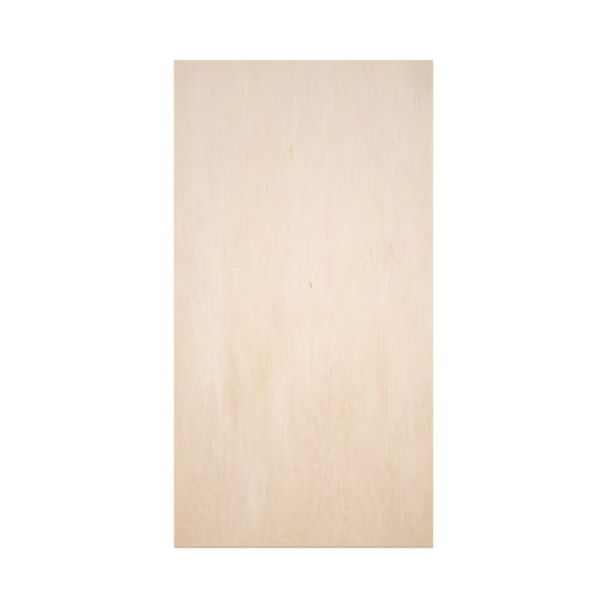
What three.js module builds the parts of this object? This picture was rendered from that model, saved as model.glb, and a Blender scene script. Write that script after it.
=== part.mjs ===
// A full sheet of plywood, lying flat. Millimetres, +Z up.
// X runs across the sheet, Y along it (the way the face grain runs), Z through its thickness.
// The origin is on the underside, in the middle of the sheet.
import * as THREE from 'three';

// Driving dimensions
const sheetWidth = 1219.2;     // X, 4 ft
const sheetLength = 2438.4;    // Y, 8 ft
const sheetThickness = 18;     // Z, sold as 3/4 in
const arrisEase = 0.4;         // how far each sharp edge is broken back by sanding

// Bare birch: pale, matt and not metallic
const birchFace = new THREE.MeshStandardMaterial({ color: '#ead8c6', roughness: 0.62, metalness: 0 });

// The sawn outline: a rectangle whose four corners are broken back by the same light sanding.
function sheetOutline(halfWidth, halfLength, ease) {
  const outline = new THREE.Shape();
  outline.moveTo(-halfWidth + ease, -halfLength);
  outline.lineTo(halfWidth - ease, -halfLength);
  outline.lineTo(halfWidth, -halfLength + ease);
  outline.lineTo(halfWidth, halfLength - ease);
  outline.lineTo(halfWidth - ease, halfLength);
  outline.lineTo(-halfWidth + ease, halfLength);
  outline.lineTo(-halfWidth, halfLength - ease);
  outline.lineTo(-halfWidth, -halfLength + ease);
  outline.closePath();
  return outline;
}

// One pressed panel: the outline pushed up through the thickness, with the long arrises of both
// faces eased by a one-step bevel. The bevel is taken out of the stated size, not added to it.
function plywoodSheet() {
  const geometry = new THREE.ExtrudeGeometry(sheetOutline(sheetWidth / 2, sheetLength / 2, arrisEase), {
    depth: sheetThickness - 2 * arrisEase,
    bevelEnabled: true,
    bevelThickness: arrisEase,
    bevelSize: arrisEase,
    bevelOffset: -arrisEase,
    bevelSegments: 1,
  });
  const sheet = new THREE.Mesh(geometry, birchFace);
  sheet.name = 'plywood_sheet';
  sheet.position.z = arrisEase;
  return sheet;
}

const part = new THREE.Group();
part.add(plywoodSheet());

export default part;
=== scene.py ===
import math
import random

import bpy
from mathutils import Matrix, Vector, noise


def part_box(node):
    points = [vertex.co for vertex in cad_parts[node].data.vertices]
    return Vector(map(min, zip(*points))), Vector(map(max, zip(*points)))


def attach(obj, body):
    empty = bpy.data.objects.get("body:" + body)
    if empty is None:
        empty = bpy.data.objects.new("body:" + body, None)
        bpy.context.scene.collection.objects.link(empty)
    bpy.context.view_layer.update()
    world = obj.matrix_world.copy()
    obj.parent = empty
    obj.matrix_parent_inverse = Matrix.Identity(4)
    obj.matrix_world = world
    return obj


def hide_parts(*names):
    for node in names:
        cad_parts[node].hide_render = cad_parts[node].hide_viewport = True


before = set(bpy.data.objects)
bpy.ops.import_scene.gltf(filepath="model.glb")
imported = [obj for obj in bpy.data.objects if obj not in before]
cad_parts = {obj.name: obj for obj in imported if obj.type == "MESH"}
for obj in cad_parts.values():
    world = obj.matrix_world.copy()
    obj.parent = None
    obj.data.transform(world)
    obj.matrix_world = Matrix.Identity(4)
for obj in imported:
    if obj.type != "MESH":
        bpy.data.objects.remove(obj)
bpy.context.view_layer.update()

mm = 0.001
sheetLow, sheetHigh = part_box("plywood_sheet")
sheetMiddle = (sheetLow + sheetHigh) / 2
sheetWidth, sheetLength, sheetThickness = sheetHigh - sheetLow
print("frame: sheet of", [round(side / mm, 1) for side in (sheetWidth, sheetLength, sheetThickness)], "mm")


def toLinear(hexColour):
    parts = [int(hexColour[i:i + 2], 16) / 255 for i in (1, 3, 5)]
    return tuple(p / 12.92 if p <= 0.04045 else ((p + 0.055) / 1.055) ** 2.4 for p in parts) + (1.0,)


# Adds one node. A setting named for an input, or numbered, sets that input; any other sets the node itself.
def addNode(tree, kind, settings=None, links=None):
    node = tree.nodes.new("ShaderNode" + kind)
    for key, value in (settings or {}).items():
        if isinstance(key, int) or key in node.inputs:
            node.inputs[key].default_value = value
        else:
            setattr(node, key, value)
    for key, source in (links or {}).items():
        tree.links.new(source.outputs[0] if isinstance(source, bpy.types.Node) else source, node.inputs[key])
    return node


def startMaterial(name):
    material = bpy.data.materials.new(name)
    material.use_nodes = True
    material.node_tree.nodes.clear()
    return material, material.node_tree


# Where a point of the surface lies, in mm from the middle of the sheet's underside
def placeInMm(tree):
    place = addNode(tree, "TexCoord")
    return addNode(tree, "VectorMath", {"operation": "SCALE", "Scale": 1 / mm}, {0: place.outputs["Object"]})


# The camera looks down on the sheet from beyond its near end, 20 degrees off square, with no perspective
camera = {
    "elevation": 70.0,           # degrees above the floor
    "sheetShare": 0.4314,        # the sheet's width as a share of the picture's width
    "rightOfCentre": 0.0060,     # where the sheet's middle stands, as shares of the picture's width
    "belowCentre": 0.0065,
    "distance": 6.0,             # metres
    "seesTo": 100.0,
}


def makeCamera():
    elevation = math.radians(camera["elevation"])
    back = Vector((0, -math.cos(elevation), math.sin(elevation)))
    up = Vector((0, math.sin(elevation), math.cos(elevation)))
    pictureWidth = sheetWidth / camera["sheetShare"]
    aim = sheetMiddle + up * camera["belowCentre"] * pictureWidth
    aim.x -= camera["rightOfCentre"] * pictureWidth
    data = bpy.data.cameras.new("lookDown")
    data.type = "ORTHO"
    data.ortho_scale = pictureWidth
    data.clip_end = camera["seesTo"]
    cam = bpy.data.objects.new("lookDown", data)
    cam.location = aim + back * camera["distance"]
    cam.rotation_mode = "QUATERNION"
    cam.rotation_quaternion = (-back).to_track_quat("-Z", "Y")
    bpy.context.scene.collection.objects.link(cam)
    bpy.context.scene.camera = cam


# One long softbox over the sheet, in a white room. Together they light the middle of the sheet at a level
# where a colour renders as it is written, and fall off a little towards the ends and corners.
light = {
    "place": (0.05, 0.0, 1.55),  # the softbox's middle, in metres
    "boxWidth": 1.2,
    "boxLength": 1.7,
    "boxPower": 9.2,             # watts
    "roomStrength": 0.712,
    "floorColour": "#F4F4F4",
    "floorGlow": (0.33, 0.44),   # what the camera sees added to the floor, beside the sheet and far from it
    "floorGlowReach": (1.3, 3.2),
    "floorRadius": 40.0,
    "floorCorners": 96,
    "floorGap": 0.3 * mm,        # a hair under the sheet, so that the two never share a plane
}


# 1 where the camera sees something directly, in a mirror or through glass, 0 where light only bounces off it
def seenDirectly(tree):
    path = addNode(tree, "LightPath")
    seen = path.outputs["Is Camera Ray"]
    for ray in ("Is Glossy Ray", "Is Transmission Ray"):
        seen = addNode(tree, "Math", {"operation": "MAXIMUM"}, {0: seen, 1: path.outputs[ray]})
    return seen


def makeLights():
    box = bpy.data.lights.new("softbox", "AREA")
    box.shape = "RECTANGLE"
    box.size = light["boxWidth"]
    box.size_y = light["boxLength"]
    box.energy = light["boxPower"]
    softbox = bpy.data.objects.new("softbox", box)
    softbox.location = light["place"]
    softbox.visible_camera = False
    bpy.context.scene.collection.objects.link(softbox)

    world = bpy.data.worlds.new("whiteRoom")
    bpy.context.scene.world = world
    world.use_nodes = True
    tree = world.node_tree
    tree.nodes.clear()
    strength = addNode(tree, "MapRange", {"To Min": light["roomStrength"], "To Max": 1.0},
                       {"Value": seenDirectly(tree)})
    room = addNode(tree, "Background", {"Color": (1, 1, 1, 1)}, {"Strength": strength})
    addNode(tree, "OutputWorld", links={"Surface": room})


# Matt white floor paint. A glow that only the camera sees whitens it without lighting the sheet, and is weak
# enough to leave the shadow along the sheet's edges.
def makeFloor():
    material, tree = startMaterial("mattWhiteFloorPaint")
    place = addNode(tree, "TexCoord")
    away = addNode(tree, "VectorMath", {"operation": "LENGTH"}, {0: place.outputs["Object"]})
    near, far = light["floorGlowReach"]
    nearGlow, farGlow = light["floorGlow"]
    glow = addNode(tree, "MapRange", {"interpolation_type": "SMOOTHSTEP", "From Min": near, "From Max": far,
                                      "To Min": nearGlow, "To Max": farGlow},
                   {"Value": away.outputs["Value"]})
    seenGlow = addNode(tree, "Math", {"operation": "MULTIPLY"}, {0: glow, 1: seenDirectly(tree)})
    paint = addNode(tree, "BsdfDiffuse", {"Color": toLinear(light["floorColour"])})
    shine = addNode(tree, "Emission", {"Color": (1, 1, 1, 1)}, {"Strength": seenGlow})
    both = addNode(tree, "AddShader", links={0: paint, 1: shine})
    addNode(tree, "OutputMaterial", links={"Surface": both})

    corners = light["floorCorners"]
    ring = []
    for i in range(corners):
        turn = math.tau * i / corners
        ring.append((light["floorRadius"] * math.cos(turn), light["floorRadius"] * math.sin(turn), 0))
    mesh = bpy.data.meshes.new("floor")
    mesh.from_pydata(ring, [], [list(range(corners))])
    mesh.materials.append(material)
    floor = bpy.data.objects.new("floor", mesh)
    floor.location.z = sheetLow.z - light["floorGap"]
    bpy.context.scene.collection.objects.link(floor)


makeCamera()
makeLights()
makeFloor()
bpy.context.scene.view_settings.view_transform = "Standard"
print("camera, softbox, room and floor made")


# The patterns in a peeled veneer: how many mm one patch of each spans across the grain and along it, its
# detail, and a number that sets its noise apart from the others
grain = {
    "slowWander": (240, 560, 1.0, 0),       # fibres drift sideways as they run down the sheet
    "quickWander": (60, 120, 1.0, 1),
    "roll": (150, 720, 1.0, 2),             # swellings of the log, whose contours the growth rings follow
    "smallRoll": (50, 150, 1.5, 3),
    "ringPlaces": (260, 420, 1.0, 4),
    "fibre": (13, 75, 2.0, 5),              # bundles of fibre
    "streak": (28, 200, 2.0, 6),
    "band": (90, 800, 1.0, 7),
    "curl": (34, 14, 2.0, 8),               # ripples across the grain, where the fibres dip in and out
    "curlPlaces": (160, 260, 1.0, 9),
    "pore": (0.6, 16, 1.0, 10),             # open vessels, really 0.1 mm wide, drawn coarser to show
    "tint": (110, 240, 1.0, 12),
    "thread": (8, 190, 1.0, 13),            # single brown threads of fibre, drawn coarser to show
    "ragged": (2.5, 14, 2.0, 14),
    "hair": (1.4, 34, 1.0, 15),
    "broadStagger": (70, 9000, 1.0, 16),    # neighbouring fibres end at different heights, never in rows
    "fineStagger": (4, 9000, 1.0, 17),
    "patchStagger": (12, 9000, 2.0, 18),    # patches of colour run out in strands
}
# How many mm across and along the wandering patterns move what is drawn on them, from end to end
wanderReach = {
    "slowWander": (44, 0),
    "quickWander": (9, 16),
    "broadStagger": (0, 400),
    "fineStagger": (0, 60),
    "patchStagger": (0, 560),
    "ragged": (5, 22),
}
# Between which two values of its noise each pattern fades in
fadesIn = {
    "ringPlaces": (0.42, 0.84),
    "curlPlaces": (0.45, 0.75),
    "pinker": (0.50, 0.75),
    "greener": (0.50, 0.25),
    "thread": (0.66, 0.80),
    "pore": (0.56, 0.76),
}
patchRim = 0.6      # how much of a patch's half width its soft rim takes up, and of a mark's
markRim = 0.9
noiseStep = (13.7, 7.3)     # how far apart the noises of two patterns are taken, so that none repeats another
woodIor = 1.5       # of the fibres and of the cured glue alike
nearEndShow = 0.00026       # rings and ripples show more towards the near end, by this much a mm
rings = {
    "smallRollShare": 0.42,
    "bulgeShow": 0.24,           # rings show more on the bulges
    # how dark the wood is from one ring to the next: it darkens slowly to the late wood and ends at a line
    "profile": [(0.0, 0.15), (0.30, 0.15), (0.72, 1.0), (0.92, 0.6), (1.0, 0.15)],
}


def grainNoise(tree, coords, pattern, seed):
    across, along, detail, number = grain[pattern]
    number += seed
    stretched = addNode(tree, "Mapping", {"Location": (noiseStep[0] * number, noiseStep[1] * number, 0),
                                          "Scale": (1 / across, 1 / along, 1 / across)}, {"Vector": coords})
    return addNode(tree, "TexNoise", {"noise_dimensions": "2D", "Scale": 1.0, "Detail": detail},
                   {"Vector": stretched})


# Moves coords about, by a noise that is itself laid over the plain sheet
def wander(tree, sheet, coords, pattern, seed):
    shift = grainNoise(tree, sheet, pattern, seed)
    centred = addNode(tree, "VectorMath", {"operation": "SUBTRACT", 1: (0.5, 0.5, 0.5)},
                      {0: shift.outputs["Color"]})
    return addNode(tree, "VectorMath", {"operation": "MULTIPLY_ADD", 1: (*wanderReach[pattern], 0)},
                   {0: centred, 2: coords})


# Adds amount times (value - 0.5) to a running total
def addVariation(tree, total, value, amount):
    centred = addNode(tree, "Math", {"operation": "MULTIPLY_ADD", 1: amount, 2: -0.5 * amount}, {0: value})
    return addNode(tree, "Math", {"operation": "ADD"}, {0: total, 1: centred}) if total else centred


# A soft oval patch, 1 in its middle and 0 at its rim, placed in mm; leanDeg turns its top to the left. It is
# far taller than the veneer is thick, so that it looks the same all through.
def ovalPatch(tree, coords, x, y, width, length, leanDeg):
    tall = 1000
    fitted = addNode(tree, "Mapping", {"vector_type": "TEXTURE", "Location": (x, y, 0),
                                       "Rotation": (0, 0, math.radians(leanDeg)),
                                       "Scale": (width / 2, length / 2, tall)}, {"Vector": coords})
    return addNode(tree, "TexGradient", {"gradient_type": "SPHERICAL"}, {"Vector": fitted}).outputs["Fac"]


# Lays patches or marks over the wood, each a soft oval in the colour of its kind
def layOvals(tree, wood, coords, ovals, colours, rim):
    for kind, *oval, most in ovals:
        cover = addNode(tree, "MapRange", {"interpolation_type": "SMOOTHSTEP", "From Max": rim,
                                           "To Max": most}, {"Value": ovalPatch(tree, coords, *oval)})
        wood = addNode(tree, "Mix", {"data_type": "RGBA", 7: toLinear(colours[kind])},
                       {0: cover, 6: wood}).outputs[2]
    return wood


# The better face: birch peeled from the turning log in one wide ribbon, sanded fine and left bare. Peeling
# nearly along the rings gives faint wandering contours instead of stripes, and short straight fibre streaks.
# Bare sanded wood is matt with a slight silk. Places are in mm from the sheet's middle, +y to its far end.
faceVeneer = {
    "pale": "#F2E4D7",
    "warm": "#ECCBA9",
    "warmth": (0.17, 0.62),      # at the far end and at the near end
    "warmFrom": (60, -1250),     # the wood turns warmer between these two places
    "edgeWarmth": (0.05, 130),   # sheets yellow first round their edges: how much, and how far in
    "ringColour": "#D6B08A",     # the denser late wood that ends each growth ring
    "ringMost": (0.0, 0.22),     # its cover where the rings show least and most
    "ringSpacing": 0.18,         # how much the surface rolls from one ring to the next
    # how much lighter and darker each pattern makes the wood
    "tones": {"fibre": 0.064, "hair": 0.036, "streak": 0.035, "band": 0.008},
    "curlTone": 0.110,
    "warmVariation": {"streak": -0.17, "band": -0.22},     # the darker streaks are the warmer ones
    "tints": {"pinker": ("#EBC9BC", 0.13), "greener": ("#DFD8AE", 0.12)},    # as the tree's sap left them
    "thread": ("#C59C72", 0.11),
    "pore": ("#C79F78", 0.20),
    "roughness": (0.55, 0.65),
    "relief": 0.25 * mm,
    "bump": 0.4,                 # how strongly that relief shows
    "seed": 3,                   # of its grain, of its sawn edge and of its splinters
    "cutSeed": 12,
    "biteSeed": 21,
    # x, y, width, length, lean, rise: where the log bulged, so that its rings show as nested loops
    "bulges": [
        (80, -60, 250, 620, 3, 0.38), (-40, -1310, 280, 740, 0, 0.85), (-520, -1330, 170, 640, -3, 0.70),
        (237, -1290, 210, 560, 4, 0.60), (-101, -140, 80, 330, 0, 0.30), (430, -620, 170, 620, 0, 0.40),
        (40, -760, 220, 300, 0, 0.35),
    ],
    # long patches that the sap left honey yellow or flushed with pink, patches of whiter wood, and
    # grey-brown patches of painted shade that darken the corners, where the light falls off
    "patchColours": {"honey": "#E9CFA3", "flushed": "#EEC7A4", "white": "#F8F0E6", "paintedCornerShade": "#B59A78"},
    # kind, x, y, width, length, lean, cover
    "patches": [
        ("honey", -335, -400, 90, 640, 0, 0.15), ("flushed", -335, -430, 90, 620, 0, 0.05),
        ("honey", -190, -340, 130, 360, 0, 0.36), ("honey", -178, -560, 80, 460, 0, 0.16),
        ("honey", 205, -540, 110, 460, 0, 0.14), ("flushed", -60, -1000, 380, 460, 0, 0.13),
        ("flushed", 378, -320, 110, 560, 0, 0.35), ("flushed", 398, -980, 90, 640, 0, 0.14),
        ("honey", 398, -980, 90, 640, 0, 0.26), ("honey", -250, -180, 170, 360, 0, 0.11),
        ("honey", -560, -880, 150, 700, 0, 0.11), ("flushed", 134, -812, 150, 170, 0, 0.16),
        ("flushed", -200, 480, 250, 1500, 0, 0.04), ("honey", -585, 500, 90, 1400, 0, 0.07),
        ("honey", -60, 1200, 1300, 240, 0, 0.04), ("flushed", -590, -260, 100, 800, 0, 0.12),
        ("flushed", -570, -1150, 200, 420, 0, 0.13), ("flushed", 54, -925, 420, 260, 0, 0.10),
        # the honey patch at 500, -1130 is partly painted shade: it darkens the near right corner, where the
        # light falls off
        ("flushed", -430, -960, 320, 220, 0, 0.06), ("honey", 500, -1130, 260, 420, 0, 0.08),
        ("white", 50, 330, 240, 1700, 0, 0.08), ("white", -450, -120, 200, 1300, 0, 0.23),
        ("white", 80, -130, 260, 760, 0, 0.16), ("white", -100, -520, 150, 440, 0, 0.21),
        ("white", -250, -880, 190, 560, 0, 0.21), ("white", 330, 200, 190, 900, 0, 0.05),
        ("white", 130, -780, 130, 300, 0, 0.05), ("white", 470, -620, 150, 700, 0, 0.11),
        ("white", -82, -610, 130, 260, 0, 0.15), ("white", -308, -740, 110, 260, 0, 0.12),
        ("white", 480, 240, 160, 700, 0, 0.12), ("white", -60, -840, 760, 420, 0, 0.09),
        ("white", -390, -480, 90, 300, 0, 0.22), ("white", -420, 760, 60, 320, 0, 0.14),
        ("white", -395, -680, 120, 620, 0, 0.17),
        # painted shade: grey-brown patches that darken the four corners, where the light falls off
        ("paintedCornerShade", 600, 1200, 330, 560, 0, 0.17), ("paintedCornerShade", -620, 1230, 260, 400, 0, 0.07),
        ("paintedCornerShade", 560, -1240, 520, 620, 0, 0.12), ("paintedCornerShade", -620, -1230, 200, 420, 0, 0.05),
    ],
    # mineral streaks, pin flecks, traces of gum, and the whiter wood round a healed twig
    "markColours": {"mineral": "#80491A", "fleck": "#A8855A", "gum": "#D9BE6E", "healed": "#F9EDDE"},
    # kind, x, y, width, length, lean, cover
    "marks": [
        ("mineral", 31, 86, 12, 62, 10, 0.22), ("mineral", 32, 84, 6, 52, 10, 0.42),
        ("gum", 64, 141, 40, 76, 0, 0.20), ("gum", 19, 92, 9, 26, 0, 0.10), ("fleck", 10, 96, 6, 40, 8, 0.09),
        ("gum", -60, 748, 36, 116, 0, 0.19), ("fleck", -64, 768, 18, 28, 0, 0.27),
        ("fleck", -56, 756, 14, 16, 0, 0.16), ("healed", -52, 764, 12, 16, 0, 0.30),
        ("fleck", 148, 1062, 6, 84, 0, 0.22), ("fleck", -400, 850, 11, 84, 8, 0.13),
        ("fleck", 418, 797, 14, 40, 8, 0.16), ("fleck", -480, 402, 12, 34, 0, 0.14),
        ("fleck", 313, 251, 14, 44, 0, 0.15), ("gum", 404, 275, 36, 104, 0, 0.20),
        ("fleck", -300, -276, 16, 26, 0, 0.18), ("fleck", 103, -343, 66, 9, 0, 0.10),
        ("fleck", 126, -338, 24, 28, 0, 0.13), ("fleck", 277, -333, 12, 30, 0, 0.12),
        ("gum", 116, -742, 36, 40, 0, 0.36), ("fleck", -30, -835, 24, 46, 0, 0.14),
        ("fleck", -102, -822, 22, 26, 0, 0.15), ("mineral", -327, -578, 14, 110, 8, 0.07),
        ("fleck", 255, -732, 16, 40, 0, 0.11), ("fleck", 219, -515, 18, 50, 0, 0.12),
        ("mineral", 397, -815, 20, 90, 6, 0.06), ("fleck", 94, -878, 22, 14, 0, 0.14),
        ("fleck", -407, -960, 26, 14, 0, 0.17), ("healed", 141, -255, 24, 30, 0, 0.32),
        ("healed", 99, 280, 34, 20, 0, 0.36), ("healed", -422, -934, 28, 26, 0, 0.26),
        ("healed", 143, -738, 16, 30, 0, 0.28), ("healed", -387, -1083, 28, 30, 0, 0.26),
    ],
}

# The back: the same wood in a plainer grade, a little darker, with a few sound pin knots
backVeneer = {
    "pale": "#EAD6C1",
    "warm": "#E4C29C",
    "warmth": (0.10, 0.35),
    "warmFrom": (900, -1200),
    "edgeWarmth": (0.10, 130),
    "ringColour": "#C69C72",
    "ringMost": (0.12, 0.32),
    "ringSpacing": 0.12,
    "tones": {"fibre": 0.100, "hair": 0.060, "streak": 0.080, "band": 0.040},
    "curlTone": 0.020,
    "warmVariation": {"streak": -0.40, "band": -0.70},
    "tints": {"pinker": ("#E4BEAC", 0.16), "greener": ("#D6CC9E", 0.12)},
    "thread": ("#B4895F", 0.20),
    "pore": ("#B98F68", 0.28),
    "roughness": (0.61, 0.71),
    "relief": 0.25 * mm,
    "bump": 0.4,
    "seed": 11,
    "cutSeed": 13,
    "biteSeed": 34,
    "bulges": [
        (-150, 420, 330, 1500, 0, 0.9), (360, -760, 260, 1100, 0, 0.8), (-420, -900, 220, 800, 0, 0.6),
    ],
    "patchColours": {"honey": "#DDBE8C", "flushed": "#E0B696", "white": "#F0E2D0"},
    "patches": [
        ("honey", -310, 240, 90, 1300, 0, 0.55), ("flushed", 240, -500, 120, 900, 0, 0.50),
        ("white", 60, 600, 180, 1200, 0, 0.35),
    ],
    "markColours": {"knot": "#6A4630", "mineral": "#8A6240"},
    "marks": [
        ("knot", -220, 520, 16, 26, 0, 0.85), ("knot", 340, -180, 14, 24, 0, 0.85),
        ("knot", 90, -820, 18, 30, 0, 0.80), ("mineral", -430, -560, 10, 120, 4, 0.45),
    ],
}


# Where a pattern shows: in some places more than in others, and more towards the near end
def placesShown(tree, sheet, pattern, seed):
    axes = addNode(tree, "SeparateXYZ", links={0: sheet})
    return addNode(tree, "Math", {"operation": "MULTIPLY_ADD", 1: -nearEndShow},
                   {0: axes.outputs["Y"], 2: grainNoise(tree, sheet, pattern, seed)})


# Growth rings show as the contour lines of a slowly rolling surface
def ringCover(tree, sheet, fibreRun, veneer):
    seed = veneer["seed"]
    roll = grainNoise(tree, fibreRun, "roll", seed)
    smallRoll = grainNoise(tree, fibreRun, "smallRoll", seed)
    height = addNode(tree, "Math", {"operation": "MULTIPLY_ADD", 1: rings["smallRollShare"]},
                     {0: smallRoll, 2: roll})
    places = placesShown(tree, sheet, "ringPlaces", seed)
    for *oval, rise in veneer["bulges"]:
        bulge = ovalPatch(tree, fibreRun, *oval)
        height = addNode(tree, "Math", {"operation": "MULTIPLY_ADD", 1: rise}, {0: bulge, 2: height})
        places = addNode(tree, "Math", {"operation": "MULTIPLY_ADD", 1: rings["bulgeShow"]},
                         {0: bulge, 2: places})
    count = addNode(tree, "Math", {"operation": "DIVIDE", 1: veneer["ringSpacing"]}, {0: height})
    phase = addNode(tree, "Math", {"operation": "FRACT"}, {0: count})
    ring = addNode(tree, "ValToRGB", links={"Fac": phase})
    ramp = ring.color_ramp
    ramp.interpolation = "B_SPLINE"
    ramp.elements.remove(ramp.elements[1])
    for spot, value in rings["profile"]:
        stop = ramp.elements.new(spot) if spot else ramp.elements[0]
        stop.color = (value, value, value, 1)
    starts, full = fadesIn["ringPlaces"]
    least, most = veneer["ringMost"]
    shows = addNode(tree, "MapRange", {"interpolation_type": "SMOOTHSTEP", "From Min": starts,
                                       "From Max": full, "To Min": least, "To Max": most}, {"Value": places})
    return addNode(tree, "Math", {"operation": "MULTIPLY"}, {0: ring, 1: shows})


# How warm the wood is: warmer towards the near end and round the edges, drawn out into streaks
def woodWarmth(tree, sheet, noises, veneer):
    axes = addNode(tree, "SeparateXYZ", links={0: sheet})
    farEnd, nearEnd = veneer["warmFrom"]
    least, most = veneer["warmth"]
    warmth = addNode(tree, "MapRange", {"From Min": farEnd, "From Max": nearEnd,
                                        "To Min": least, "To Max": most}, {"Value": axes.outputs["Y"]})
    edgeMost, edgeReach = veneer["edgeWarmth"]
    for axis, half in (("X", sheetWidth / 2 / mm), ("Y", sheetLength / 2 / mm)):
        out = addNode(tree, "Math", {"operation": "ABSOLUTE"}, {0: axes.outputs[axis]})
        edge = addNode(tree, "MapRange", {"interpolation_type": "SMOOTHERSTEP", "To Max": edgeMost,
                                          "From Min": half - edgeReach, "From Max": half}, {"Value": out})
        warmth = addNode(tree, "Math", {"operation": "ADD"}, {0: warmth, 1: edge})
    for pattern, amount in veneer["warmVariation"].items():
        warmth = addVariation(tree, warmth, noises[pattern], amount)
    return warmth


def rotaryCutBirch(name, veneer):
    material, tree = startMaterial(name)
    seed = veneer["seed"]
    sheet = placeInMm(tree)
    fibreRun = wander(tree, sheet, sheet, "slowWander", seed)
    fibreRun = wander(tree, sheet, fibreRun, "quickWander", seed)
    fibreEnds = wander(tree, sheet, fibreRun, "broadStagger", seed)
    fibreEnds = wander(tree, sheet, fibreEnds, "fineStagger", seed)

    # Light and dark streaks of fibre, from hairs to hand-wide bands, and ripples across them in places
    noises = {}
    tone = None
    for pattern, amount in veneer["tones"].items():
        noises[pattern] = grainNoise(tree, fibreRun if pattern == "band" else fibreEnds, pattern, seed)
        tone = addVariation(tree, tone, noises[pattern], amount)
    curl = addVariation(tree, None, grainNoise(tree, sheet, "curl", seed), veneer["curlTone"])
    starts, full = fadesIn["curlPlaces"]
    curlShows = addNode(tree, "MapRange", {"From Min": starts, "From Max": full},
                        {"Value": placesShown(tree, sheet, "curlPlaces", seed)})
    tone = addNode(tree, "Math", {"operation": "MULTIPLY_ADD"}, {0: curl, 1: curlShows, 2: tone})
    lightness = addNode(tree, "Math", {"operation": "ADD", 1: 1.0}, {0: tone})

    pale, warm = toLinear(veneer["pale"]), toLinear(veneer["warm"])
    wood = addNode(tree, "Mix", {"data_type": "RGBA", 6: pale, 7: warm},
                   {0: woodWarmth(tree, sheet, noises, veneer)}).outputs[2]
    strands = wander(tree, sheet, fibreRun, "patchStagger", seed)
    wood = layOvals(tree, wood, strands, veneer["patches"], veneer["patchColours"], patchRim)
    wood = addNode(tree, "Mix", {"data_type": "RGBA", 7: toLinear(veneer["ringColour"])},
                   {0: ringCover(tree, sheet, fibreRun, veneer), 6: wood})
    tintNoise = grainNoise(tree, fibreRun, "tint", seed)
    for tint, (colour, most) in veneer["tints"].items():
        starts, full = fadesIn[tint]
        cover = addNode(tree, "MapRange", {"From Min": starts, "From Max": full, "To Max": most},
                        {"Value": tintNoise})
        wood = addNode(tree, "Mix", {"data_type": "RGBA", 7: toLinear(colour)},
                       {0: cover, 6: wood.outputs[2]})
    wood = addNode(tree, "VectorMath", {"operation": "SCALE"}, {0: wood.outputs[2], "Scale": lightness})
    wood = wood.outputs["Vector"]
    covers = {}
    for pattern in ("thread", "pore"):
        colour, most = veneer[pattern]
        starts, full = fadesIn[pattern]
        covers[pattern] = addNode(tree, "MapRange", {"From Min": starts, "From Max": full, "To Max": most},
                                  {"Value": grainNoise(tree, fibreEnds, pattern, seed)})
        wood = addNode(tree, "Mix", {"data_type": "RGBA", 7: toLinear(colour)},
                       {0: covers[pattern], 6: wood}).outputs[2]
    raggedRun = wander(tree, sheet, fibreRun, "ragged", seed)
    wood = layOvals(tree, wood, raggedRun, veneer["marks"], veneer["markColours"], markRim)

    # Sanding leaves the surface smooth to the hand, with the vessels as the only relief
    smoothest, roughest = veneer["roughness"]
    sheen = addNode(tree, "MapRange", {"To Min": smoothest, "To Max": roughest}, {"Value": noises["fibre"]})
    height = addNode(tree, "Math", {"operation": "SUBTRACT"}, {0: tone, 1: covers["pore"]})
    bump = addNode(tree, "Bump", {"Strength": veneer["bump"], "Distance": veneer["relief"]},
                   {"Height": height})
    bsdf = addNode(tree, "BsdfPrincipled", {"IOR": woodIor},
                   {"Base Color": wood, "Roughness": sheen, "Normal": bump})
    addNode(tree, "OutputMaterial", links={"Surface": bsdf})
    return material


# Between the face and the back, eleven inner plies, glued with the grain of each across the last
innerPlies = {
    "count": 11,
    "outerVeneer": 1.2 * mm,     # face and back, sanded down from the 1.4 mm that they were peeled at
    "glueLine": 0.12 * mm,
    # side, mm along it, ply, mm to either side, mm deep: gaps where two strips of a ply do not quite meet
    "gaps": [("right", 610, 4, 3, 7), ("left", 1495, 6, 4, 8), ("far", 805, 3, 3, 6)],
}
lowestGlue = sheetLow.z + innerPlies["outerVeneer"]
highestGlue = sheetHigh.z - innerPlies["outerVeneer"]
plyPitch = (highestGlue - lowestGlue) / innerPlies["count"]

# Sawn veneer edges. A ply that runs along the edge shows its fibres side-on, as pale brown threads; a ply
# that runs across it shows cut fibre ends, which drink the light and look darker, with fine knife checks.
sawnWood = {
    # mm along x, y and z: threads 6 cm long and 0.3 mm thick, and long shallow tears
    "side": {"pale": "#F7E9D4", "dark": "#EAD7BC", "fine": (60, 60, 0.3), "checks": (90, 90, 0.5)},
    # pores, and checks every few mm that stand upright in the ply
    "end": {"pale": "#EEDDC4", "dark": "#CFB291", "fine": (0.6, 0.6, 0.6), "checks": (3.0, 3.0, 9.0)},
    "cloud": 15,                 # mm
    "noiseDetail": {"fine": 2.0, "checks": 3.0, "cloud": 1.0},
    "middleTone": 0.5,           # halfway between pale and dark, before these variations
    "variation": {"fine": 1.3, "cloud": 0.8, "ply": 0.5},
    "plyShift": (37, 53, 0),     # mm that the pattern moves from each ply to the next
    "checkColour": "#7A5A40",
    "checkCover": 0.55,
    "checkFades": (0.60, 0.72),
    "roughness": 0.78,
    "relief": 0.15 * mm,
    "bump": 0.5,
}
glueLook = {
    "dark": "#5E483A",
    "pale": "#6B5242",
    "blotch": 8,                 # mm
    "blotchDetail": 1.0,
    "roughness": 0.5,
}


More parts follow.
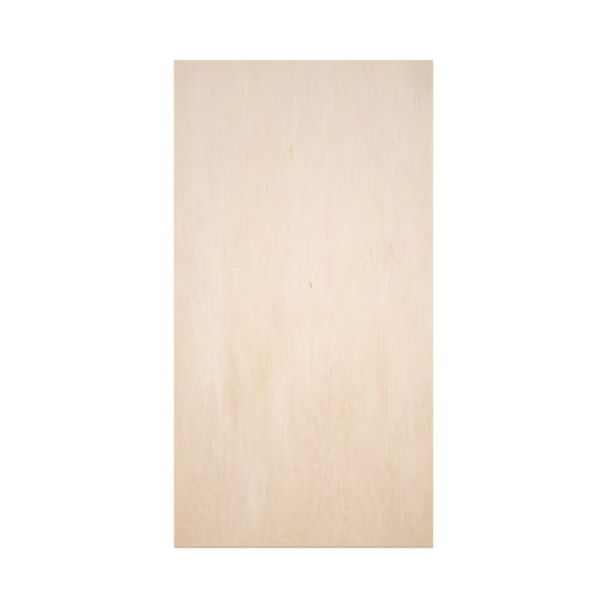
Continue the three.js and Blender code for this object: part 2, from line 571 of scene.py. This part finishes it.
def sawnBirch(name, cut):
    material, tree = startMaterial(name)
    inMm = placeInMm(tree)
    # Each veneer has a tone and a pattern of its own, because it comes from another turn of the log
    axes = addNode(tree, "SeparateXYZ", links={0: inMm})
    plyHeight = addNode(tree, "Math", {"operation": "MULTIPLY_ADD", 1: mm / plyPitch,
                                       2: -lowestGlue / plyPitch}, {0: axes.outputs["Z"]})
    plyNumber = addNode(tree, "Math", {"operation": "FLOOR"}, {0: plyHeight})
    plyTone = addNode(tree, "TexWhiteNoise", {"noise_dimensions": "1D"}, {"W": plyNumber})
    plyShift = addNode(tree, "VectorMath", {"operation": "SCALE", 0: sawnWood["plyShift"]},
                       {"Scale": plyNumber})
    plyCoords = addNode(tree, "VectorMath", {"operation": "ADD"}, {0: inMm, 1: plyShift})
    detail = sawnWood["noiseDetail"]
    pattern = {}
    for part in ("fine", "checks"):
        coords = addNode(tree, "Mapping", {"Scale": [1 / size for size in cut[part]]}, {"Vector": plyCoords})
        pattern[part] = addNode(tree, "TexNoise", {"Scale": 1.0, "Detail": detail[part]}, {"Vector": coords})
    cloud = addNode(tree, "TexNoise", {"Scale": 1 / sawnWood["cloud"], "Detail": detail["cloud"]},
                    {"Vector": plyCoords})
    tone = addVariation(tree, None, pattern["fine"], sawnWood["variation"]["fine"])
    tone = addVariation(tree, tone, cloud, sawnWood["variation"]["cloud"])
    tone = addVariation(tree, tone, plyTone.outputs["Value"], sawnWood["variation"]["ply"])
    tone = addNode(tree, "Math", {"operation": "ADD", 1: sawnWood["middleTone"], "use_clamp": True},
                   {0: tone})
    wood = addNode(tree, "Mix", {"data_type": "RGBA", 6: toLinear(cut["pale"]), 7: toLinear(cut["dark"])},
                   {0: tone})
    starts, full = sawnWood["checkFades"]
    check = addNode(tree, "MapRange", {"From Min": starts, "From Max": full,
                                       "To Max": sawnWood["checkCover"]}, {"Value": pattern["checks"]})
    wood = addNode(tree, "Mix", {"data_type": "RGBA", 7: toLinear(sawnWood["checkColour"])},
                   {0: check, 6: wood.outputs[2]})
    bump = addNode(tree, "Bump", {"Strength": sawnWood["bump"], "Distance": sawnWood["relief"],
                                  "invert": True}, {"Height": tone})
    bsdf = addNode(tree, "BsdfPrincipled", {"IOR": woodIor, "Roughness": sawnWood["roughness"]},
                   {"Base Color": wood.outputs[2], "Normal": bump})
    addNode(tree, "OutputMaterial", links={"Surface": bsdf})
    return material


# The resin between the veneers, pressed out to a thin dark brown line with a slight gloss
def curedResin(name):
    material, tree = startMaterial(name)
    blotch = addNode(tree, "TexNoise", {"Scale": 1 / glueLook["blotch"], "Detail": glueLook["blotchDetail"]},
                     {"Vector": placeInMm(tree)})
    resin = addNode(tree, "Mix", {"data_type": "RGBA", 6: toLinear(glueLook["dark"]),
                                  7: toLinear(glueLook["pale"])}, {0: blotch})
    bsdf = addNode(tree, "BsdfPrincipled", {"IOR": woodIor, "Roughness": glueLook["roughness"]},
                   {"Base Color": resin.outputs[2]})
    addNode(tree, "OutputMaterial", links={"Surface": bsdf})
    return material


faceBirch = rotaryCutBirch("rotaryCutBirchSandedFace", faceVeneer)
backBirch = rotaryCutBirch("rotaryCutBirchBack", backVeneer)
edgeMaterials = {
    "side": sawnBirch("sawnBirchSideGrain", sawnWood["side"]),
    "end": sawnBirch("sawnBirchEndGrain", sawnWood["end"]),
    "glue": curedResin("curedPhenolicGlue"),
}
print("materials made: two peeled birch faces, sawn side grain, sawn end grain and glue")


# How the saw and the sander left the sheet
sawCut = {
    "cells": (24, 48),           # squares that a face is divided into, across and along
    "stepsPerCell": 12,          # so that an edge has a step every 4.2 mm
    "ease": 0.4 * mm,            # arrises broken by sanding
    "chatter": 0.02 * mm,        # ripple left by the saw teeth
    "chatterPitch": 21 * mm,
    "plySpread": 0.06 * mm,      # how far one ply may stand behind the next
    "endRecess": 0.05 * mm,      # fibre ends are cut a little deeper than fibre sides
    "glueStep": 0.05 * mm,       # how far a glue line lies behind the ply beside it
    "tearChance": {"end": 0.012, "side": 0.003},      # torn-out fibres, at each step
    "tearDepth": (0.15 * mm, 0.6 * mm),
    "biteChance": {"end": 0.014, "side": 0.003},      # splinters lifted off an arris
    "biteDepth": (0.3 * mm, 1.3 * mm),
    "biteFoot": 0.3,             # how much of its depth a bite still has at the foot of the arris
    "biteSteps": (1, 1, 2),      # a splinter takes up one of these numbers of steps
    "faceWave": 0.04 * mm,       # the faces roll by this much between the presses' hot spots
    "faceWaveSize": (320 * mm, 430 * mm),
    "faceWaveSeed": 4.7,
    "firstSeed": 700,            # of inner ply 0; every other ply adds its own number
}
sides = ("near", "right", "far", "left")
endSides = ("near", "far")


# Where the sawn edge is drawn: spots all round the outline, anticlockwise from the near left corner
def outlineSpots():
    starts = ((sheetLow.x, sheetLow.y), (sheetHigh.x, sheetLow.y),
              (sheetHigh.x, sheetHigh.y), (sheetLow.x, sheetHigh.y))
    found = []
    for number, side in enumerate(sides):
        length = sheetWidth if side in endSides else sheetLength
        steps = sawCut["cells"][0 if side in endSides else 1] * sawCut["stepsPerCell"]
        turn = number * math.pi / 2
        ahead = Vector((round(math.cos(turn)), round(math.sin(turn)), 0))
        outward = Vector((ahead.y, -ahead.x, 0))
        for step in range(steps + 1):
            run = min(max(step / steps * length, sawCut["ease"]), length - sawCut["ease"])
            place = Vector((*starts[number], 0)) + ahead * run
            found.append({"side": side, "place": place, "outward": outward, "run": run, "length": length,
                          "secondHalf": step >= steps / 2})
    return found


spots = outlineSpots()
firstSpot = {side: [spot["side"] for spot in spots].index(side) for side in sides}
glueShows = ["glue"] * len(spots)
faceShows = ["face"] * len(spots)


# Whether a ply shows its fibre ends or sides on one side of the sheet
def cutOf(side, grainAlong):
    return "end" if grainAlong == (side in endSides) else "side"


# How far one ply stands back at each spot: its own set-back, the saw's ripple, torn-out fibres and gaps
def plyInsets(number, grainAlong):
    draw = random.Random(sawCut["firstSeed"] + number)
    setBack = draw.random() * sawCut["plySpread"]
    phase = draw.random() * math.tau
    insets = []
    for spot in spots:
        cut = cutOf(spot["side"], grainAlong)
        inset = setBack + (sawCut["endRecess"] if cut == "end" else 0)
        inset += sawCut["chatter"] * (1 + math.sin(math.tau * spot["run"] / sawCut["chatterPitch"] + phase))
        if draw.random() < sawCut["tearChance"][cut]:
            inset += draw.uniform(*sawCut["tearDepth"])
        for side, along, ply, reach, depth in innerPlies["gaps"]:
            if ply == number and side == spot["side"] and abs(spot["run"] - along * mm) < reach * mm:
                inset = depth * mm
        insets.append(inset)
    return insets


# Splinters lifted off the arris where the saw left the veneer, mostly at the ends, across the grain
def arrisBites(seed):
    draw = random.Random(seed)
    bites = []
    stepsLeft = 0
    for spot in spots:
        if stepsLeft == 0 and draw.random() < sawCut["biteChance"][cutOf(spot["side"], True)]:
            stepsLeft = draw.choice(sawCut["biteSteps"])
            bite = draw.uniform(*sawCut["biteDepth"])
        bites.append(bite if stepsLeft else 0.0)
        stepsLeft = max(0, stepsLeft - 1)
    return bites


# How the surfaces are laid out for baking: the edges in six long strips at the bottom of the map, the face
# over them, and the glued faces, which never show, squeezed into slivers at the top
uvMap = {
    "margin": 0.004,
    "strips": {"near": 0, "far": 1, "right": 2, "left": 4},      # each long side takes two, one for each half
    "stripCount": 6,
    "stripGap": 0.09,
    "leastRow": 0.26 * mm,       # a glue line gets this much of its strip, to be two pixels tall in the map
    "stripTop": 0.080,
    "stripTopAlone": 0.960,      # where no face shows, the strips take the whole map
    "faceTop": 0.976,
    "slivers": (0.980, 0.990),
    "sliverHeight": 0.006,
}


# How far up its strip each row starts, from 0 to 1. Rows that show the face have no part in the strips.
def stripHeights(rows):
    heights = [0.0]
    for level in range(len(rows) - 1):
        z, insets, shows = rows[level]
        rise = 0 if shows is faceShows else max(rows[level + 1][0] - z, uvMap["leastRow"])
        heights.append(heights[-1] + rise)
    return [height / heights[-1] for height in heights]


def stripPlace(spot, run, height, stripTop):
    strip = uvMap["strips"][spot["side"]]
    share = run / spot["length"]
    if spot["side"] not in endSides:
        strip += spot["secondHalf"]
        share = 2 * share - spot["secondHalf"]
    across = uvMap["margin"] + share * (1 - 2 * uvMap["margin"])
    up = strip + uvMap["stripGap"] + height * (1 - 2 * uvMap["stripGap"])
    return across, up * stripTop / uvMap["stripCount"]


def facePlace(point):
    margin = uvMap["margin"]
    across = (point[0] - sheetLow.x) / sheetWidth
    along = (point[1] - sheetLow.y) / sheetLength
    bottom = uvMap["stripTop"] + margin
    return margin + across * (1 - 2 * margin), bottom + along * (uvMap["faceTop"] - margin - bottom)


def sliverPlace(point, upward):
    across = (point[0] - sheetLow.x) / sheetWidth
    along = (point[1] - sheetLow.y) / sheetLength
    margin = uvMap["margin"]
    return margin + across * (1 - 2 * margin), uvMap["slivers"][upward] + along * uvMap["sliverHeight"]


# Cuts an outer square into triangles that spread from its one or two inner corners to the points on the edge
def fanOut(corners, firstInner):
    while corners[0] >= firstInner or corners[-1] < firstInner:
        corners = corners[1:] + corners[:1]
    onEdge = [corner for corner in corners if corner < firstInner]
    besideLast, besideFirst = corners[len(onEdge)], corners[-1]
    half = len(onEdge) // 2
    fan = [[*onEdge[k:k + 2], besideFirst if k < half else besideLast] for k in range(len(onEdge) - 1)]
    return fan if besideFirst == besideLast else fan + [[onEdge[half], besideLast, besideFirst]]


# A flat face of squares, whose outer squares take in every point of the edge ring that starts at ringStart
def addFlatFace(points, faces, ringStart, z, upward, shows):
    across, along = sawCut["cells"]
    steps = sawCut["stepsPerCell"]
    inner = {}
    firstInner = len(points)
    for j in range(1, along):
        for i in range(1, across):
            x = sheetLow.x + sheetWidth * i / across
            y = sheetLow.y + sheetLength * j / along
            waveX, waveY = sawCut["faceWaveSize"]
            wave = noise.noise(Vector((x / waveX, y / waveY, sawCut["faceWaveSeed"])))
            dip = 0 if shows == "glue" else sawCut["faceWave"] * (1 + wave)
            inner[i, j] = len(points)
            points.append((x, y, z - dip if upward else z + dip))

    def edgePoints(side, first, last):
        start = ringStart + firstSpot[side]
        return [start + step for step in range(first * steps, last * steps + 1)]

    for j in range(along):
        for i in range(across):
            nearLeft, nearRight = inner.get((i, j)), inner.get((i + 1, j))
            farLeft, farRight = inner.get((i, j + 1)), inner.get((i + 1, j + 1))
            walk = edgePoints("near", i, i + 1) if j == 0 else [nearLeft, nearRight]
            walk += edgePoints("right", j, j + 1) if i + 1 == across else [nearRight, farRight]
            walk += edgePoints("far", across - i - 1, across - i) if j + 1 == along else [farRight, farLeft]
            walk += edgePoints("left", along - j - 1, along - j) if i == 0 else [farLeft, nearLeft]
            corners = [point for point in dict.fromkeys(walk) if point is not None]
            for face in fanOut(corners, firstInner) if len(corners) > 4 else [corners]:
                if not upward:
                    face.reverse()
                places = [sliverPlace(points[corner], upward) if shows == "glue"
                          else facePlace(points[corner]) for corner in face]
                faces.append((face, shows, places))


# A closed slab. Each row is one level of its edge: its height, how far each spot stands back there, and what
# shows between it and the next row. The first row carries the lower flat face, and the last the upper.
def buildSlab(name, rows, materials, lowerShows="glue", upperShows="glue"):
    points = []
    faces = []
    for z, insets, shows in rows:
        for spot, inset in zip(spots, insets):
            place = spot["place"] - spot["outward"] * inset
            points.append((place.x, place.y, z))
    low, high = rows[0][0], rows[-1][0]
    stripTop = uvMap["stripTopAlone"] if lowerShows == upperShows else uvMap["stripTop"]
    heights = stripHeights(rows)

    for level in range(len(rows) - 1):
        shows = rows[level][2]
        for number, spot in enumerate(spots):
            follower = (number + 1) % len(spots)
            # the last step of a side crosses the eased corner
            nextRun = spots[follower]["run"] if spots[follower]["side"] == spot["side"] else spot["length"]
            below, above = level * len(spots), (level + 1) * len(spots)
            corners = [below + number, below + follower, above + follower, above + number]
            if shows[number] == "face":
                places = [facePlace(points[corner]) for corner in corners]
            else:
                places = [stripPlace(spot, run, heights[level + step], stripTop)
                          for run, step in ((spot["run"], 0), (nextRun, 0), (nextRun, 1), (spot["run"], 1))]
            faces.append((corners, shows[number], places))
    addFlatFace(points, faces, 0, low, False, lowerShows)
    addFlatFace(points, faces, (len(rows) - 1) * len(spots), high, True, upperShows)

    mesh = bpy.data.meshes.new(name)
    mesh.from_pydata(points, [], [corners for corners, shows, places in faces])
    for material in materials.values():
        mesh.materials.append(material)
    wears = {shows: number for number, shows in enumerate(materials)}
    mesh.polygons.foreach_set("material_index", [wears[shows] for corners, shows, places in faces])
    layer = mesh.uv_layers.new(name="OFBake")
    layer.uv.foreach_set("vector", [value for corners, shows, places in faces for place in places
                                    for value in place])
    mesh.validate()
    piece = bpy.data.objects.new(name, mesh)
    bpy.context.scene.collection.objects.link(piece)
    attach(piece, "root")
    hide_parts("plywood_sheet")
    print(name, "made,", len(faces), "faces")


def plyShows(grainAlong):
    return [cutOf(spot["side"], grainAlong) for spot in spots]


def stepBack(insets, amount):
    return [inset + amount for inset in insets]


def arrisFoot(insets, bites):
    return [inset + sawCut["biteFoot"] * bite for inset, bite in zip(insets, bites)]


def makeFaceVeneer():
    low, high = highestGlue, sheetHigh.z
    insets = plyInsets(faceVeneer["cutSeed"], True)
    bites = arrisBites(faceVeneer["biteSeed"])
    rows = [
        (low, stepBack(insets, sawCut["glueStep"]), glueShows),
        (low + innerPlies["glueLine"] / 2, insets, plyShows(True)),
        (high - sawCut["ease"], arrisFoot(insets, bites), faceShows),
        (high, stepBack(bites, sawCut["ease"]), None),
    ]
    buildSlab("face_veneer", rows, {"face": faceBirch, **edgeMaterials}, upperShows="face")


def makeInnerPlies():
    halfGlue = innerPlies["glueLine"] / 2
    rows = []
    for number in range(innerPlies["count"]):
        grainAlong = number % 2 == 1
        insets = plyInsets(number, grainAlong)
        low = lowestGlue + number * plyPitch
        high = low + plyPitch
        if number == 0:
            rows.append((low, stepBack(insets, sawCut["glueStep"]), glueShows))
        rows.append((low + halfGlue, insets, plyShows(grainAlong)))
        rows.append((high - halfGlue, insets, glueShows))
    rows.append((highestGlue, stepBack(insets, sawCut["glueStep"]), None))
    buildSlab("inner_plies", rows, edgeMaterials)


def makeBackVeneer():
    low, high = sheetLow.z, lowestGlue
    insets = plyInsets(backVeneer["cutSeed"], True)
    bites = arrisBites(backVeneer["biteSeed"])
    rows = [
        (low, stepBack(bites, sawCut["ease"]), faceShows),
        (low + sawCut["ease"], arrisFoot(insets, bites), plyShows(True)),
        (high - innerPlies["glueLine"] / 2, insets, glueShows),
        (high, stepBack(insets, sawCut["glueStep"]), None),
    ]
    buildSlab("back_veneer", rows, {"face": backBirch, **edgeMaterials}, lowerShows="face")


makeFaceVeneer()
makeInnerPlies()
makeBackVeneer()
